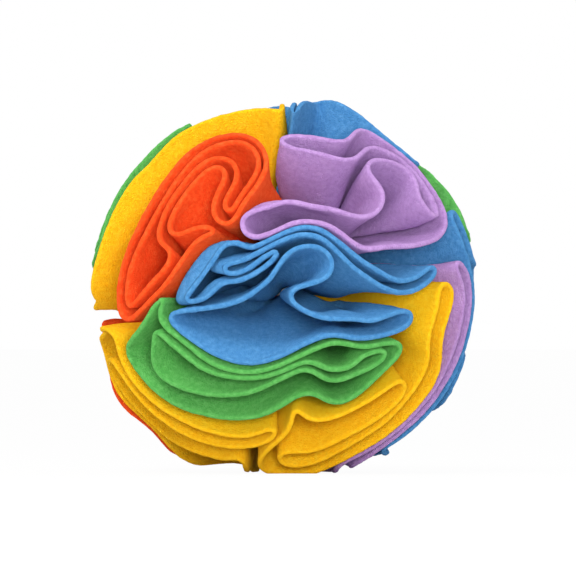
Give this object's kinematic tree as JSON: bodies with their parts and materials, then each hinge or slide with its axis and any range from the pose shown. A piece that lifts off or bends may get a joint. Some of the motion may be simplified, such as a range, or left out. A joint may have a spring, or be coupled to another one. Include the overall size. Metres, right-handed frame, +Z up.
{
  "type": "snuffle ball",
  "caption": "Round ball of soft fleece discs in five colours, tied together in the middle so that their ruffled edges form folds for hiding dry treats.",
  "frame": {"origin": "middle of the underside, on the floor the ball rests on", "axes": "+X to the right as pictured, the pictured side faces -Y, +Z up"},
  "size_m": [0.1488, 0.1486, 0.1466],
  "materials": {
    "orange_disc_1": "matte anti-pill fleece",
    "orange_disc_2": "matte anti-pill fleece",
    "orange_disc_3": "matte anti-pill fleece",
    "orange_disc_4": "matte anti-pill fleece",
    "yellow_disc_1": "matte anti-pill fleece",
    "yellow_disc_2": "matte anti-pill fleece",
    "yellow_disc_3": "matte anti-pill fleece",
    "yellow_disc_4": "matte anti-pill fleece",
    "green_disc_1": "matte anti-pill fleece",
    "green_disc_2": "matte anti-pill fleece",
    "green_disc_3": "matte anti-pill fleece",
    "green_disc_4": "matte anti-pill fleece",
    "blue_disc_1": "matte anti-pill fleece",
    "blue_disc_2": "matte anti-pill fleece",
    "blue_disc_3": "matte anti-pill fleece",
    "blue_disc_4": "matte anti-pill fleece",
    "lilac_disc_1": "matte anti-pill fleece",
    "lilac_disc_2": "matte anti-pill fleece",
    "lilac_disc_3": "matte anti-pill fleece",
    "lilac_disc_4": "matte anti-pill fleece",
    "centre_tie": "matte twisted cord"
  },
  "bodies": {
    "root": {"orange_disc_1": "orange_disc_1", "orange_disc_2": "orange_disc_2", "orange_disc_3": "orange_disc_3", "orange_disc_4": "orange_disc_4", "yellow_disc_1": "yellow_disc_1", "yellow_disc_2": "yellow_disc_2", "yellow_disc_3": "yellow_disc_3", "yellow_disc_4": "yellow_disc_4", "green_disc_1": "green_disc_1", "green_disc_2": "green_disc_2", "green_disc_3": "green_disc_3", "green_disc_4": "green_disc_4", "blue_disc_1": "blue_disc_1", "blue_disc_2": "blue_disc_2", "blue_disc_3": "blue_disc_3", "blue_disc_4": "blue_disc_4", "lilac_disc_1": "lilac_disc_1", "lilac_disc_2": "lilac_disc_2", "lilac_disc_3": "lilac_disc_3", "lilac_disc_4": "lilac_disc_4", "centre_tie": "centre_tie"}
  },
  "joints": []
}
